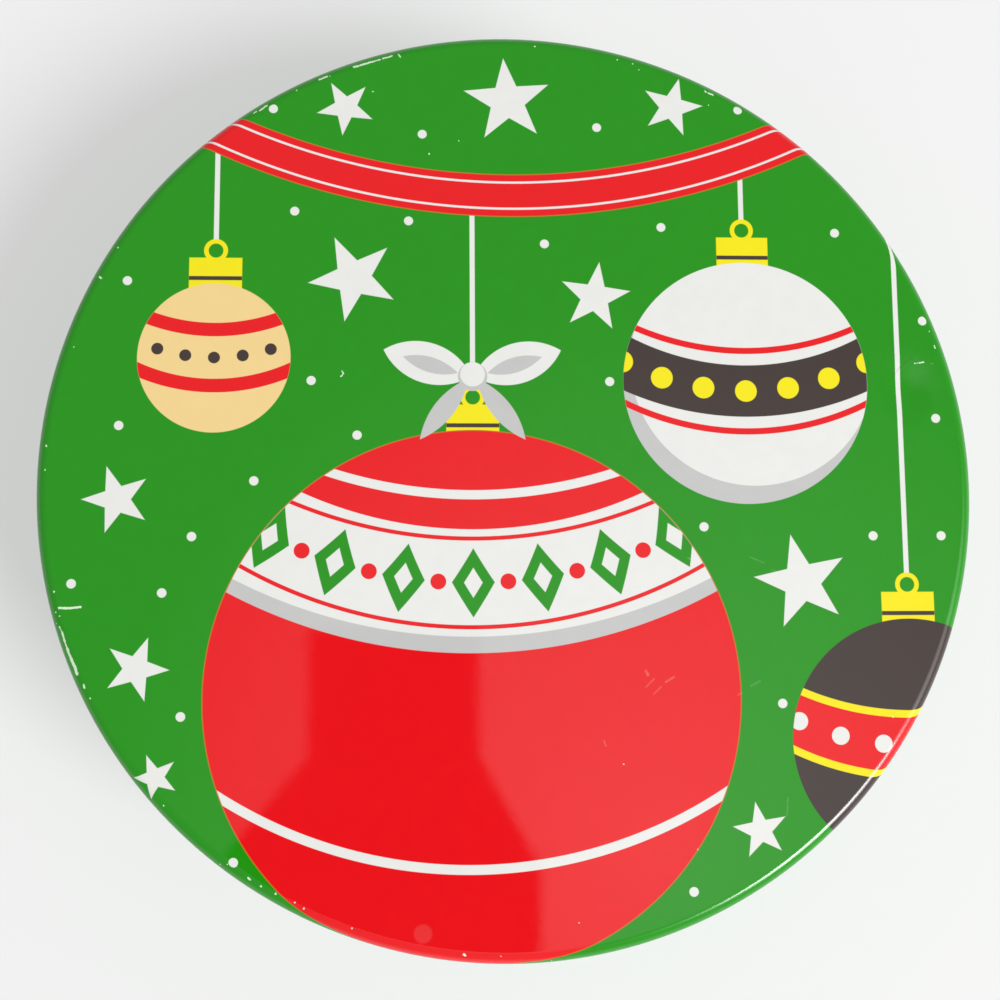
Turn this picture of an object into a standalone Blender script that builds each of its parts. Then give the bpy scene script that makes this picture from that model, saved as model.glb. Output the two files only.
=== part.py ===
"""Round slip-lid tin for the Christmas table, about eight inches across.

Three pieces of thin tinplate: a drawn lid, a rolled wall with a locked side
seam, and a base disc whose edge is double-seamed round the foot of the wall.
Units are metres, +Z is up and the origin is under the middle of the base.
"""
import math

import bmesh
import bpy
from mathutils import Matrix

# Driving dimensions
LID_DIAMETER = 0.203
TIN_HEIGHT = 0.070
GAUGE = 0.00025             # thickness of the tinplate
LID_DEPTH = 0.019           # top face of the lid to the foot of its curl
LID_CORNER = 0.0026         # outside radius where the top turns into the skirt
LID_CURL = 0.0016           # outside diameter of the curl at the lid's foot
WALL_CURL = 0.0020          # outside diameter of the curl at the wall's mouth
CURL_SWEEP = 285.0          # degrees that the edge of the sheet is curled through
LID_GAP = 0.0003            # running clearance between the lid's curl and the wall
REST_GAP = 0.0003           # lid's underside to the mouth of the wall
SEAM_GAP = 0.0002           # between the folded layers of the base seam
SEAM_HEIGHT = 0.0030        # height of the base seam
SEAM_CORNER = 0.0006        # outside radius of the base seam's two lower corners
BASE_RISE = 0.0032          # floor that the tin stands on to the underside of the base
BASE_FILLET = 0.0008        # where the base panel meets its upright edge
BEAD_RADIUS = 0.086         # middle of the round bead in the base
BEAD_WIDTH = 0.0032
BEAD_HEIGHT = 0.0008
STEP_RADIUS = 0.070         # outer edge of the raised middle of the base
STEP_WIDTH = 0.0016
STEP_HEIGHT = 0.0007
LOCK_WIDTH = 0.0044         # side seam, across its fold
LOCK_GAP = 0.00008          # between the folded layers of the side seam
LOCK_COAT = 0.00002         # lacquer that keeps the fold off the wall behind it
LOCK_BEND = 0.0003          # rounding of the fold's two inner corners
LOCK_CLEAR = 0.0008         # ends of the fold to the mouth curl and to the base

# How finely the round shapes are cut
TURNS = 64
CORNER_STEPS = 4
CURL_STEPS = 8
BEND_STEPS = 2
HOOK_STEPS = 4
BEAD_STEPS = 4

# Sizes that follow from the ones above
LID_RADIUS = LID_DIAMETER / 2
WALL_RADIUS = LID_RADIUS - LID_CURL - LID_GAP
WALL_TOP = TIN_HEIGHT - GAUGE - REST_GAP
LAYER = GAUGE + SEAM_GAP                    # pitch of the layers in the base seam
SEAM_INSIDE = WALL_RADIUS - GAUGE - LAYER   # upright edge of the base, seen from below
SEAM_OUTSIDE = WALL_RADIUS + 3 * LAYER
HOOK_INSIDE = GAUGE / 2 + SEAM_GAP          # inside radius of both hooks
WALL_HOOK_Z = LAYER + GAUGE + HOOK_INSIDE   # centre of the hook at the wall's foot
BASE_HOOK_Z = SEAM_HEIGHT - GAUGE - HOOK_INSIDE

ENAMEL_GREEN = (0.040, 0.310, 0.025)
BARE_TINPLATE = (0.62, 0.63, 0.63)
INK_RED = (0.820, 0.008, 0.012)
INK_WHITE = (0.820, 0.825, 0.790)
INK_CREAM = (0.900, 0.660, 0.285)
INK_BLACK = (0.020, 0.014, 0.012)

# Print on the lid as seen from above: baubles below a swag of ribbon
SWAG = (0.0, 0.214, 0.150, 0.0094, INK_RED)     # across, up, bend, width, ink
BAUBLES = (                                     # across, up, radius, ink
    (-0.064, 0.027, 0.0165, INK_CREAM),
    (0.086, -0.056, 0.0260, INK_BLACK),
    (0.052, 0.022, 0.0270, INK_WHITE),
    (-0.008, -0.046, 0.0570, INK_RED),
)
BELTS = (                                       # height over the bauble's middle, bend, width, ink
    (0.0, 0.040, 0.0094, INK_RED),
    (-0.0010, 0.060, 0.0120, INK_RED),
    (-0.0020, 0.060, 0.0115, INK_BLACK),
    (0.0240, 0.100, 0.0230, INK_WHITE),
)


def clear_scene():
    for item in list(bpy.data.objects):
        bpy.data.objects.remove(item, do_unlink=True)


def new_collection(name):
    group = bpy.data.collections.new(name)
    bpy.context.scene.collection.children.link(group)
    return group


def finish(name, colour, roughness, metallic):
    """Principled material with one colour, roughness and metallic value."""
    material = bpy.data.materials.new(name)
    material.use_nodes = True
    shader = material.node_tree.nodes["Principled BSDF"]
    shader.inputs["Base Color"].default_value = (*colour, 1.0)
    shader.inputs["Roughness"].default_value = roughness
    shader.inputs["Metallic"].default_value = metallic
    return material


class LidPrint:
    """Fields of ink laid one over the other on a material, each bounded by circles."""

    def __init__(self, material):
        self.tree = material.node_tree
        self.base = self.tree.nodes["Principled BSDF"].inputs["Base Color"]
        where = self.tree.nodes.new("ShaderNodeTexCoord").outputs["Object"]
        self.flat = self.add("ShaderNodeVectorMath", "MULTIPLY", where, (1.0, 1.0, 0.0))
        self.ground = tuple(self.base.default_value)

    def add(self, kind, operation, *terms):
        node = self.tree.nodes.new(kind)
        node.operation = operation
        for term, socket in zip(terms, node.inputs):
            self.join(term, socket)
        return next(socket for socket in node.outputs if socket.enabled)

    def join(self, term, socket):
        if isinstance(term, bpy.types.NodeSocket):
            self.tree.links.new(term, socket)
        else:
            socket.default_value = term

    def side(self, circle, test):
        """1 on one side of a circle and 0 on the other."""
        x, y, radius = circle
        away = self.add("ShaderNodeVectorMath", "DISTANCE", self.flat, (x, y, 0.0))
        return self.add("ShaderNodeMath", test, away, radius)

    def lay(self, ink, inside, outside=()):
        """Lays a field of ink that is inside the first circles and outside the others."""
        sides = [self.side(circle, "LESS_THAN") for circle in inside]
        sides += [self.side(circle, "GREATER_THAN") for circle in outside]
        share = sides[0]
        for other in sides[1:]:
            share = self.add("ShaderNodeMath", "MULTIPLY", share, other)
        mix = self.tree.nodes.new("ShaderNodeMix")
        mix.data_type = "RGBA"
        sockets = (mix.inputs[0], mix.inputs[6], mix.inputs[7])
        for term, socket in zip((share, self.ground, (*ink, 1.0)), sockets):
            self.join(term, socket)
        self.ground = mix.outputs[2]
        self.join(self.ground, self.base)


def print_ribbon(art, across, up, bend, width, ink, ends=()):
    """Ribbon bent round a point above it, and cut off at the circles given as its ends."""
    art.lay(ink, [*ends, (across, up, bend + width / 2)], [(across, up, bend - width / 2)])


def print_bauble(art, bauble, belt):
    across, up, radius, ink = bauble
    rise, bend, width, belt_ink = belt
    ball = (across, up, radius)
    art.lay(ink, [ball])
    print_ribbon(art, across, up + rise + bend, bend, width, belt_ink, ends=[ball])


def arc(centre, radius, start, end, steps):
    """Points on a round stretch of a profile, both ends included, angles in degrees."""
    points = []
    for i in range(steps + 1):
        angle = math.radians(start + (end - start) * i / steps)
        points.append((centre[0] + radius * math.cos(angle), centre[1] + radius * math.sin(angle)))
    return points


def bead(middle, width, height, level):
    """Rounded bump across the base, from its outer edge to its inner edge."""
    points = []
    for i in range(BEAD_STEPS + 1):
        share = i / BEAD_STEPS
        lift = height * (1 - math.cos(2 * math.pi * share)) / 2
        points.append((middle + width * (0.5 - share), level + lift))
    return points


def lid_profile():
    """Outer face of the lid, from the middle of the top to the edge rolled up in the curl."""
    curl = LID_CURL / 2
    foot = TIN_HEIGHT - LID_DEPTH
    corner = (LID_RADIUS - LID_CORNER, TIN_HEIGHT - LID_CORNER)
    points = [(0.0, TIN_HEIGHT)]
    points += arc(corner, LID_CORNER, 90, 0, CORNER_STEPS)
    points += arc((LID_RADIUS - curl, foot + curl), curl, 0, -CURL_SWEEP, CURL_STEPS)
    return points


def wall_profile():
    """Outer face of the wall, from the edge in the mouth curl to the hook at its foot."""
    curl = WALL_CURL / 2
    points = arc((WALL_RADIUS - curl, WALL_TOP - curl), curl, CURL_SWEEP, 0, CURL_STEPS)
    points += arc((WALL_RADIUS + HOOK_INSIDE, WALL_HOOK_Z), HOOK_INSIDE, 180, 360, HOOK_STEPS)
    points.append((WALL_RADIUS + 2 * HOOK_INSIDE, BASE_HOOK_Z))
    return points


def base_profile():
    """Lower face of the base, from the edge in the seam, round its foot, to the middle."""
    hook = HOOK_INSIDE + GAUGE
    panel = SEAM_INSIDE - BASE_FILLET
    points = [(WALL_RADIUS + SEAM_GAP, WALL_HOOK_Z)]
    points += arc((SEAM_OUTSIDE - hook, BASE_HOOK_Z), hook, 180, 0, HOOK_STEPS)
    points += arc((SEAM_OUTSIDE - SEAM_CORNER, SEAM_CORNER), SEAM_CORNER, 0, -90, BEND_STEPS)
    points += arc((SEAM_INSIDE + SEAM_CORNER, SEAM_CORNER), SEAM_CORNER, -90, -180, BEND_STEPS)
    points += arc((panel, BASE_RISE - BASE_FILLET), BASE_FILLET, 0, 90, BEND_STEPS)
    points += bead(BEAD_RADIUS, BEAD_WIDTH, BEAD_HEIGHT, BASE_RISE)
    points.append((STEP_RADIUS, BASE_RISE))
    points.append((STEP_RADIUS - STEP_WIDTH, BASE_RISE + STEP_HEIGHT))
    points.append((0.0, BASE_RISE + STEP_HEIGHT))
    return points


def turned_sheet(name, profile, material, group):
    """Sheet of even gauge turned from the line of its outer face."""
    shape = bmesh.new()
    line = [shape.verts.new((radius, 0.0, height)) for radius, height in profile]
    for first, second in zip(line, line[1:]):
        shape.edges.new((first, second))
    mesh = bpy.data.meshes.new(name)
    shape.to_mesh(mesh)
    shape.free()
    piece = bpy.data.objects.new(name, mesh)
    group.objects.link(piece)
    turn = piece.modifiers.new("turn", "SCREW")
    turn.axis = "Z"
    turn.steps = TURNS
    turn.render_steps = TURNS
    turn.use_merge_vertices = True
    turn.merge_threshold = 0.00001
    turn.use_smooth_shade = True
    add_gauge(piece, GAUGE, -1.0)
    mesh.materials.append(material)
    return piece


def add_gauge(piece, thickness, offset):
    gauge = piece.modifiers.new("gauge", "SOLIDIFY")
    gauge.thickness = thickness
    gauge.offset = offset
    gauge.use_even_offset = True


def at_side_seam():
    """Places a shape drawn with X along the wall and Y inwards on the facet behind the tin."""
    facet = WALL_RADIUS * math.cos(math.pi / TURNS)
    turn = Matrix.Rotation(math.pi / TURNS, 4, "Z")
    return turn @ Matrix.Translation((0.0, facet, 0.0)) @ Matrix.Scale(-1, 4, (0, 1, 0))


def seam_tool(name, mesh, group):
    tool = bpy.data.objects.new(name, mesh)
    group.objects.link(tool)
    tool.hide_render = True
    tool.display_type = "WIRE"
    return tool


def lock_range():
    """Lowest and highest point of the folded part of the side seam."""
    low = BASE_RISE + BEAD_HEIGHT + GAUGE + LOCK_CLEAR
    return low, WALL_TOP - WALL_CURL - LOCK_CLEAR


def lock_fold(group):
    """The fold's three inner layers as one rounded block let into the wall."""
    low, high = lock_range()
    outer = GAUGE / 2
    inner = 4 * GAUGE + 3 * LOCK_GAP + LOCK_COAT
    shape = bmesh.new()
    bmesh.ops.create_cube(shape, size=1.0)
    size = (LOCK_WIDTH, inner - outer, high - low)
    bmesh.ops.scale(shape, vec=size, verts=shape.verts)
    bmesh.ops.translate(shape, vec=(0.0, (inner + outer) / 2, (low + high) / 2), verts=shape.verts)
    corners = []
    for edge in shape.edges:
        upright = abs(edge.verts[0].co.z - edge.verts[1].co.z) > GAUGE
        if upright and edge.verts[0].co.y > outer + GAUGE:
            corners.append(edge)
    bmesh.ops.bevel(shape, geom=corners, offset=LOCK_BEND, segments=BEND_STEPS, affect="EDGES",
                    profile=0.5, material=-1)
    return finished_tool("side_seam_fold", shape, group)


def lock_slot(group):
    """The one winding gap between the two hooked edges of the sheet, from outside to inside."""
    low, high = lock_range()
    edge = LOCK_WIDTH / 2
    right = edge - GAUGE - LOCK_GAP / 2
    left = -edge + GAUGE + LOCK_GAP / 2
    hook_end = right - GAUGE - LOCK_GAP
    layers = [LOCK_COAT + i * GAUGE + (i - 0.5) * LOCK_GAP for i in (1, 2, 3)]
    route = [(right, -GAUGE), (right, layers[2]), (left, layers[2]), (left, layers[1])]
    route += [(hook_end, layers[1]), (hook_end, layers[0]), (-edge - GAUGE, layers[0])]
    shape = bmesh.new()
    line = [shape.verts.new((x, y, low - LOCK_CLEAR / 2)) for x, y in route]
    edges = [shape.edges.new(pair) for pair in zip(line, line[1:])]
    rise = high - low + LOCK_CLEAR
    raised = bmesh.ops.extrude_edge_only(shape, edges=edges)["geom"]
    moved = [item for item in raised if isinstance(item, bmesh.types.BMVert)]
    bmesh.ops.translate(shape, vec=(0.0, 0.0, rise), verts=moved)
    tool = finished_tool("side_seam_gap", shape, group)
    add_gauge(tool, LOCK_GAP, 0.0)
    return tool


def finished_tool(name, shape, group):
    bmesh.ops.transform(shape, matrix=at_side_seam(), verts=shape.verts)
    bmesh.ops.recalc_face_normals(shape, faces=shape.faces)
    mesh = bpy.data.meshes.new(name)
    shape.to_mesh(mesh)
    shape.free()
    return seam_tool(name, mesh, group)


def add_boolean(piece, name, operation, tool):
    change = piece.modifiers.new(name, "BOOLEAN")
    change.operation = operation
    change.solver = "EXACT"
    change.object = tool


def make_lid(group):
    enamel = finish("lid_enamel", ENAMEL_GREEN, 0.12, 0.0)
    art = LidPrint(enamel)
    print_ribbon(art, *SWAG)
    for bauble, belt in zip(BAUBLES, BELTS):
        print_bauble(art, bauble, belt)
    return turned_sheet("lid", lid_profile(), enamel, group)


def make_wall(group, cutters):
    enamel = finish("wall_enamel", ENAMEL_GREEN, 0.16, 0.0)
    wall = turned_sheet("body_wall", wall_profile(), enamel, group)
    add_boolean(wall, "side seam fold", "UNION", lock_fold(cutters))
    add_boolean(wall, "side seam gap", "DIFFERENCE", lock_slot(cutters))
    return wall


def make_base(group):
    tinplate = finish("bare_tinplate", BARE_TINPLATE, 0.34, 1.0)
    return turned_sheet("base_disc", base_profile(), tinplate, group)


def main():
    clear_scene()
    tin = new_collection("christmas_tin")
    cutters = new_collection("cutters")
    make_lid(tin)
    make_wall(tin, cutters)
    make_base(tin)


main()
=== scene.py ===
"""Looks of the round Christmas tin: printed lid, green wall, bare base, and the view of the photograph.

Lengths are in metres and +Z is up. The tin stands on the floor at the origin, and the print is drawn
as it lies in the photograph, with X to the right and Y up the picture.
"""
import math

import bmesh
import bpy
from mathutils import Matrix, Vector


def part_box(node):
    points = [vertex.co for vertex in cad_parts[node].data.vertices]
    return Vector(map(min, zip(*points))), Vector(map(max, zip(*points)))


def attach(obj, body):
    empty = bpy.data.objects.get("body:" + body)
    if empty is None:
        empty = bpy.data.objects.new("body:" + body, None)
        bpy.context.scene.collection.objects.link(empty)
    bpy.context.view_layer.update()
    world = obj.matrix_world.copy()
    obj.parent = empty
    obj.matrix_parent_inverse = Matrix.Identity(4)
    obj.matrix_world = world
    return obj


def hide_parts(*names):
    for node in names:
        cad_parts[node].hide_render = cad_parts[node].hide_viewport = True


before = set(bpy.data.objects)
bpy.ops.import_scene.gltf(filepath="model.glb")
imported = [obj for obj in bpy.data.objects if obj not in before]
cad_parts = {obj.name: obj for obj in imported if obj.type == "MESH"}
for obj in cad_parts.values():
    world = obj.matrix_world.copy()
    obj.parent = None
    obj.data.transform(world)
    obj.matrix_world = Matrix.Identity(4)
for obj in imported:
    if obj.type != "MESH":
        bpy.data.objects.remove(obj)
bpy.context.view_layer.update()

# Sizes of the tin, read from the frame
LID_LOW, LID_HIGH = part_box("lid")
WALL_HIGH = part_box("body_wall")[1]
BASE_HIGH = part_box("base_disc")[1]
LID_RADIUS = LID_HIGH.x
LID_TOP = LID_HIGH.z
LID_FOOT = LID_LOW.z

# Sizes of the folds, as the tin's maker gives them
GAUGE = 0.00025
SEAM_GAP = 0.0002
LAYER = GAUGE + SEAM_GAP
HOOK_INSIDE = GAUGE / 2 + SEAM_GAP
WALL_RADIUS = WALL_HIGH.x - 2 * HOOK_INSIDE - GAUGE
WALL_TOP = WALL_HIGH.z
SEAM_INSIDE = WALL_RADIUS - GAUGE - LAYER
SEAM_OUTSIDE = BASE_HIGH.x
SEAM_CORNER = 0.0006
SEAM_HEIGHT = 0.0030
WALL_HOOK_Z = LAYER + GAUGE + HOOK_INSIDE
BASE_HOOK_Z = SEAM_HEIGHT - GAUGE - HOOK_INSIDE
LID_CORNER = 0.0026
LID_CURL = 0.0016
WALL_CURL = 0.0020
CURL_SWEEP = 285.0
BASE_RISE = 0.0032
BASE_FILLET = 0.0008
BEAD_RADIUS, BEAD_WIDTH, BEAD_HEIGHT = 0.086, 0.0032, 0.0008
STEP_RADIUS, STEP_WIDTH, STEP_HEIGHT = 0.070, 0.0016, 0.0007
LOCK_WIDTH = 0.0044
LOCK_GAP = 0.00008
LOCK_COAT = 0.00002
LOCK_CLEAR = 0.0008
LOCK_ROUNDING = 0.0003
LOCK_START = 0.6 * GAUGE    # how deep in the wall the fold begins
LOCK_TURN = math.pi / 64    # the side seam lies half a facet of the wall past +Y
SUPPORT = 0.0003            # ring of points that keeps a flat stretch flat beside a bend
AROUND = 240                # points round the tin, a whole number in each patch of the print
CURL_STEPS = 18             # steps round each bend of the sheet
CORNER_STEPS = 14
WALL_HOOK_STEPS = 8
BASE_HOOK_STEPS = 10
ROUNDING_STEPS = 6
WELD = 0.000005             # points nearer than this are one
LID_INNER_RING = 0.045      # ring of points on the lid's top where the patches of the print change

# The photograph's view, in its own frame of 1000 by 1000 pixels
PICTURE = 1000
FOCAL_PX = 1500
PLUMB_PX = (430, 704)       # where a plumb line from the camera meets the lid
CENTRE_PX = (510, 481)      # middle of the lid
CAMERA_ABOVE = 0.3202       # camera above the lid's top

# The dent in the lid's top, with its middle by its pixel of the photograph
DENT_PX = (910, 386)
DENT_WIDTH = 0.0072
DENT_DEPTH = 0.00060
DENT_RINGS = 16             # rings of points on the lid's top that give it its shape

# Print colours, as light sent back
GREEN = (0.016, 0.292, 0.006)
RED = (0.820, 0.008, 0.012)
WHITE = (0.820, 0.825, 0.790)
PRIMER = (0.700, 0.890, 0.640)
SHADE = (0.560, 0.560, 0.555)
CREAM = (0.900, 0.660, 0.285)
BLACK = (0.056, 0.040, 0.035)
YELLOW = (0.920, 0.800, 0.006)
TRAP = (0.520, 0.190, 0.020)
BARE_TIN = (0.62, 0.63, 0.63)

# The print's ink, and the patches that the print is cut into
INK_EDGE = 0.00014          # softness of the ink's edges
MISFIT = 0.00020            # width of the pale line round the red ink
DIAMOND_SLANT = 0.62
SHEET_RADIUS = LID_RADIUS + LID_TOP - LID_FOOT
PATCH_RINGS = (0.0, LID_INNER_RING, LID_RADIUS - LID_CORNER, SHEET_RADIUS)
PATCH_SECTORS = (4, 12, 12)
PATCH_STEP = 0.006          # spacing of the spots by which a patch knows what touches it
PATCH_MARGIN = 0.0045
LEAST_RADIUS = 0.001        # no radius is taken as less, as the print is scaled by it

# Surfaces: waves are counted to the metre, and heights are in metres
GLOSS = (0.01, 0.055)       # roughness of the lacquer, from where it is cleanest to where it is most handled
SMEAR_WAVES, SMEAR_STRETCH = 34.0, (1.0, 2.2, 1.0)
PEEL_WAVES, PEEL_HEIGHT = 420.0, 0.0000008
SWELL_WAVES, SWELL_HEIGHT = 28.0, 0.000010
CORNER_DULL = 0.17          # how much rougher the lacquer is where the sheet was drawn over the corner
CORNER_START = 0.03         # share of the corner's fall by which it is so
CHIP_DULL, CHIP_DEPTH = 0.35, 0.000014
CHIP_EDGE, CHIP_RAGGED, CHIP_WAVES = 0.00010, 0.00022, 3200.0
SCRATCH_DULL, SCRATCH_DEPTH = 0.30, 0.000004
# the scratches' pale tone is a painted glint
SCRATCH_EDGE, SCRATCH_GLINT_TONE, SCRATCH_WAVES = 0.00026, 0.22, 1500.0
MOTTLE, MOTTLE_WAVES = 0.035, 260.0
WALL_MOTTLE, WALL_WAVES = 0.07, 60.0
ROLLING_WAVES, ROLLING_DULL, ROLLING_HEIGHT = 600.0, 0.02, 0.0000002
ROLLED_ACROSS = (0.02, 1.0, 1.0)    # rolling marks that run from left to right
ROLLED_UP = (1.0, 1.0, 0.02)        # and that run up the wall
TIN_DULL = (0.30, 0.36)
CLOUD_WAVES, CLOUD_TONE = 45.0, 1.08


def view_axes():
    """The camera's turn: its own X, Y and Z in the tin's frame, from where its plumb line falls."""
    middle = PICTURE / 2
    down = Vector((PLUMB_PX[0] - middle, middle - PLUMB_PX[1], -FOCAL_PX)).normalized()
    up = -down
    along_y = Vector((0, 1, 0))
    along_y = (along_y - up * along_y.dot(up)).normalized()
    return Matrix((along_y.cross(up), along_y, up))


def sight(pixel):
    """Direction from the camera through a pixel of the photograph."""
    middle = PICTURE / 2
    return view_axes() @ Vector((pixel[0] - middle, middle - pixel[1], -FOCAL_PX))


def camera_place():
    line = sight(CENTRE_PX)
    return Vector((0, 0, LID_TOP)) + line * (CAMERA_ABOVE / line.z)


def on_lid(pixel):
    """Place on the lid's top or rounded corner that a pixel of the photograph shows."""
    line, eye = sight(pixel), camera_place()
    level = LID_TOP
    for _ in range(8):
        place = eye + line * ((level - eye.z) / line.z)
        out = min(max(place.xy.length - LID_RADIUS + LID_CORNER, 0.0), LID_CORNER)
        level = LID_TOP - LID_CORNER + math.sqrt(LID_CORNER ** 2 - out ** 2)
    return place


def set_camera():
    data = bpy.data.cameras.new("camera")
    data.sensor_width = 36.0
    data.lens = FOCAL_PX * data.sensor_width / PICTURE
    data.clip_start = 0.01
    camera = bpy.data.objects.new("camera", data)
    camera.matrix_world = Matrix.Translation(camera_place()) @ view_axes().to_4x4()
    bpy.context.scene.collection.objects.link(camera)
    bpy.context.scene.camera = camera


# Sheet metal shapes

def arc(centre, radius, start, end, steps):
    points = []
    for i in range(steps + 1):
        angle = math.radians(start + (end - start) * i / steps)
        points.append((centre[0] + radius * math.cos(angle), centre[1] + radius * math.sin(angle)))
    return points


def bead(middle, width, height, level, steps=10):
    points = []
    for i in range(steps + 1):
        share = i / steps
        lift = height * (1 - math.cos(2 * math.pi * share)) / 2
        points.append((middle + width * (0.5 - share), level + lift))
    return points


def lid_line():
    """Outer face of the lid from the middle of its top to the edge inside its curl."""
    curl = LID_CURL / 2
    flat = LID_RADIUS - LID_CORNER
    dent = on_lid(DENT_PX).xy.length
    points = [(0.0, LID_TOP), (LID_INNER_RING, LID_TOP)]
    for i in range(DENT_RINGS + 1):
        points.append((dent + DENT_WIDTH * (2 * i / DENT_RINGS - 1), LID_TOP))
    points.append((flat - SUPPORT, LID_TOP))
    points += arc((flat, LID_TOP - LID_CORNER), LID_CORNER, 90, 0, CORNER_STEPS)
    points.append((LID_RADIUS, LID_TOP - LID_CORNER - SUPPORT))
    points.append((LID_RADIUS, LID_FOOT + curl + SUPPORT))
    points += arc((LID_RADIUS - curl, LID_FOOT + curl), curl, 0, -CURL_SWEEP, CURL_STEPS)
    return points


def wall_line():
    """Outer face of the wall from the edge inside the mouth curl to the hook at its foot."""
    curl = WALL_CURL / 2
    points = arc((WALL_RADIUS - curl, WALL_TOP - curl), curl, CURL_SWEEP, 0, CURL_STEPS)
    points.append((WALL_RADIUS, WALL_TOP - curl - SUPPORT))
    points += arc((WALL_RADIUS + HOOK_INSIDE, WALL_HOOK_Z), HOOK_INSIDE, 180, 360, WALL_HOOK_STEPS)
    points.append((WALL_RADIUS + 2 * HOOK_INSIDE, BASE_HOOK_Z))
    return points


def base_line():
    """Lower face of the base from the edge inside its seam, round the seam's foot, to the middle."""
    hook = HOOK_INSIDE + GAUGE
    panel = SEAM_INSIDE - BASE_FILLET
    points = [(WALL_RADIUS + SEAM_GAP, WALL_HOOK_Z)]
    points += arc((SEAM_OUTSIDE - hook, BASE_HOOK_Z), hook, 180, 0, BASE_HOOK_STEPS)
    points += arc((SEAM_OUTSIDE - SEAM_CORNER, SEAM_CORNER), SEAM_CORNER, 0, -90, ROUNDING_STEPS)
    points += arc((SEAM_INSIDE + SEAM_CORNER, SEAM_CORNER), SEAM_CORNER, -90, -180, ROUNDING_STEPS)
    points += arc((panel, BASE_RISE - BASE_FILLET), BASE_FILLET, 0, 90, ROUNDING_STEPS)
    points.append((panel - SUPPORT, BASE_RISE))
    points += bead(BEAD_RADIUS, BEAD_WIDTH, BEAD_HEIGHT, BASE_RISE)
    points.append((STEP_RADIUS + SUPPORT, BASE_RISE))
    for share in (0.0, 0.2, 0.5, 0.8, 1.0):
        lift = STEP_HEIGHT * (1 - math.cos(math.pi * share)) / 2
        points.append((STEP_RADIUS - STEP_WIDTH * share, BASE_RISE + lift))
    points.append((STEP_RADIUS - STEP_WIDTH - SUPPORT, BASE_RISE + STEP_HEIGHT))
    points.append((0.0, BASE_RISE + STEP_HEIGHT))
    return points


def mesh_piece(name, shape):
    mesh = bpy.data.meshes.new(name)
    shape.to_mesh(mesh)
    shape.free()
    piece = bpy.data.objects.new(name, mesh)
    bpy.context.scene.collection.objects.link(piece)
    return piece


def face_outwards(shape, line):
    """Turns the faces to the sheet's outer side, which lies to the left of the line's run."""
    bmesh.ops.recalc_face_normals(shape, faces=shape.faces)
    start, end = max(zip(line, line[1:]), key=lambda pair: math.dist(*pair))
    left = Vector((start[1] - end[1], 0, end[0] - start[0]))
    middle = Vector(((start[0] + end[0]) / 2, 0, (start[1] + end[1]) / 2))
    nearest = min(shape.faces, key=lambda face: (face.calc_center_median() - middle).length)
    if nearest.normal.dot(left) < 0:
        bmesh.ops.reverse_faces(shape, faces=shape.faces)


def spun_sheet(name, line, outer, inner):
    """Sheet of even gauge spun from the line of its outer face, printed outside and bare inside."""
    shape = bmesh.new()
    points = [shape.verts.new((radius, 0.0, height)) for radius, height in line]
    edges = [shape.edges.new(pair) for pair in zip(points, points[1:])]
    bmesh.ops.spin(shape, geom=points + edges, cent=(0, 0, 0), axis=(0, 0, -1), dvec=(0, 0, 0),
                   angle=2 * math.pi, steps=AROUND, use_merge=True, use_duplicate=False)
    bmesh.ops.remove_doubles(shape, verts=shape.verts, dist=WELD)
    face_outwards(shape, line)
    piece = mesh_piece(name, shape)
    piece.data.shade_smooth()
    for material in (outer, inner):
        piece.data.materials.append(material)
    gauge = add_gauge(piece, GAUGE, -1.0)
    gauge.material_offset = 1
    gauge.material_offset_rim = 1
    return piece


def add_gauge(piece, thickness, offset):
    gauge = piece.modifiers.new("gauge", "SOLIDIFY")
    gauge.thickness = thickness
    gauge.offset = offset
    gauge.use_even_offset = True
    return gauge


def press_dent(lid):
    """Presses a shallow round-edged dent into the lid's top."""
    middle = on_lid(DENT_PX)
    for point in lid.data.vertices:
        share = (point.co - middle).length / DENT_WIDTH
        if share < 1:
            point.co.z -= DENT_DEPTH * (1 + math.cos(math.pi * share)) / 2
    lid.data.update()


def apply_modifiers(piece):
    """Keeps the finished mesh and drops the steps that made it."""
    view = bpy.context.evaluated_depsgraph_get()
    mesh = bpy.data.meshes.new_from_object(piece.evaluated_get(view), depsgraph=view)
    piece.modifiers.clear()
    piece.data = mesh


# The side seam

def at_side_seam():
    """Places a shape drawn with X along the wall and Y inwards behind the tin."""
    turn = Matrix.Rotation(LOCK_TURN, 4, "Z")
    return turn @ Matrix.Translation((0, WALL_RADIUS, 0)) @ Matrix.Scale(-1, 4, (0, 1, 0))


def lock_range():
    low = BASE_RISE + BEAD_HEIGHT + GAUGE + LOCK_CLEAR
    return low, WALL_TOP - WALL_CURL - LOCK_CLEAR


def seam_tool(name, shape):
    bmesh.ops.transform(shape, matrix=at_side_seam(), verts=shape.verts)
    bmesh.ops.recalc_face_normals(shape, faces=shape.faces)
    return mesh_piece(name, shape)


def lock_fold():
    """The three inner layers of the side seam, let into the wall."""
    low, high = lock_range()
    outer = LOCK_START
    inner = 4 * GAUGE + 3 * LOCK_GAP + LOCK_COAT
    shape = bmesh.new()
    bmesh.ops.create_cube(shape, size=1.0)
    bmesh.ops.scale(shape, vec=(LOCK_WIDTH, inner - outer, high - low), verts=shape.verts)
    bmesh.ops.translate(shape, vec=(0, (inner + outer) / 2, (low + high) / 2), verts=shape.verts)
    corners = []
    for edge in shape.edges:
        upright = abs(edge.verts[0].co.z - edge.verts[1].co.z) > GAUGE
        if upright and edge.verts[0].co.y > outer + GAUGE:
            corners.append(edge)
    bmesh.ops.bevel(shape, geom=corners, offset=LOCK_ROUNDING, segments=4, affect="EDGES", profile=0.5,
                    material=-1)
    return seam_tool("side_seam_fold", shape)


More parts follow.
